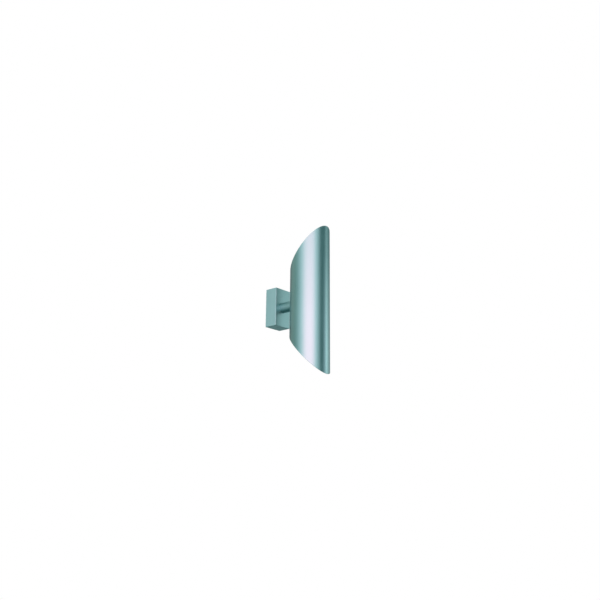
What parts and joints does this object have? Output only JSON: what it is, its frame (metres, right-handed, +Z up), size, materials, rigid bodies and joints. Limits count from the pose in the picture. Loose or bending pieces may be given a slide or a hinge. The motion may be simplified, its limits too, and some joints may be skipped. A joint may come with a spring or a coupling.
{
  "type": "up and down wall sconce",
  "caption": "Oval aluminium tube with both ends cut slanting, held off a small upright wall box by a short round arm; lights the wall above and below.",
  "frame": {"origin": "middle of the two wall slots, on the wall's face, level with the arm's axis", "axes": "+Y into the wall, +Z up, +X to the right for someone who faces the wall; the light stands out towards -Y"},
  "size_m": [0.083, 0.181, 0.3788],
  "materials": {
    "satin_aluminium": "satin brushed, clear anodised",
    "baffle_aluminium": "pressed, matt",
    "zinc_steel": "bright zinc plated",
    "brass": "plain",
    "terminal_plastic": "natural nylon",
    "black_rubber": "matt",
    "white_ceramic": "unglazed steatite",
    "lamp_mirror": "aluminised glass",
    "lamp_glass": "clear",
    "brown_insulation": "smooth",
    "blue_insulation": "smooth",
    "earth_insulation": "smooth, green with a yellow stripe"
  },
  "bodies": {
    "fixture": {"arm_nipple": "zinc_steel", "backing_plate": "zinc_steel", "baffle_screws": "zinc_steel", "block_screws": "zinc_steel", "box_dowels": "zinc_steel", "box_screws": "zinc_steel", "cable_bush": "black_rubber", "earth_leads": "earth_insulation", "earth_screws": "zinc_steel", "earth_tags": "zinc_steel", "holder_contacts": "brass", "holder_screws": "zinc_steel", "lamp_bracket": "zinc_steel", "live_leads": "brown_insulation", "lock_washers": "zinc_steel", "lower_baffle": "baffle_aluminium", "lower_lampholder": "white_ceramic", "neutral_leads": "blue_insulation", "nipple_bushes": "terminal_plastic", "nipple_nuts": "zinc_steel", "pillar_screws": "zinc_steel", "pillars": "zinc_steel", "saddle_block": "baffle_aluminium", "shade_dowels": "zinc_steel", "shade_tube": "satin_aluminium", "stub_arm": "satin_aluminium", "terminal_block": "terminal_plastic", "terminal_inserts": "brass", "terminal_screws": "zinc_steel", "upper_baffle": "baffle_aluminium", "upper_lampholder": "white_ceramic", "wall_box": "satin_aluminium", "wall_plate": "zinc_steel"},
    "upper_lamp": {"upper_lamp_base": "white_ceramic", "upper_lamp_capsule": "lamp_glass", "upper_lamp_glass": "lamp_glass", "upper_lamp_pins": "zinc_steel", "upper_lamp_reflector": "lamp_mirror"},
    "lower_lamp": {"lower_lamp_base": "white_ceramic", "lower_lamp_capsule": "lamp_glass", "lower_lamp_glass": "lamp_glass", "lower_lamp_pins": "zinc_steel", "lower_lamp_reflector": "lamp_mirror"}
  },
  "joints": [
    {"name": "upper_lamp_twist", "type": "hinge", "parent": "fixture", "child": "upper_lamp", "pos_m": [0, -0.1255, 0.0303], "axis": [0, 0, 1], "range_deg": [0, 25]},
    {"name": "lower_lamp_twist", "type": "hinge", "parent": "fixture", "child": "lower_lamp", "pos_m": [0, -0.1255, -0.0303], "axis": [0, 0, -1], "range_deg": [0, 25]}
  ]
}
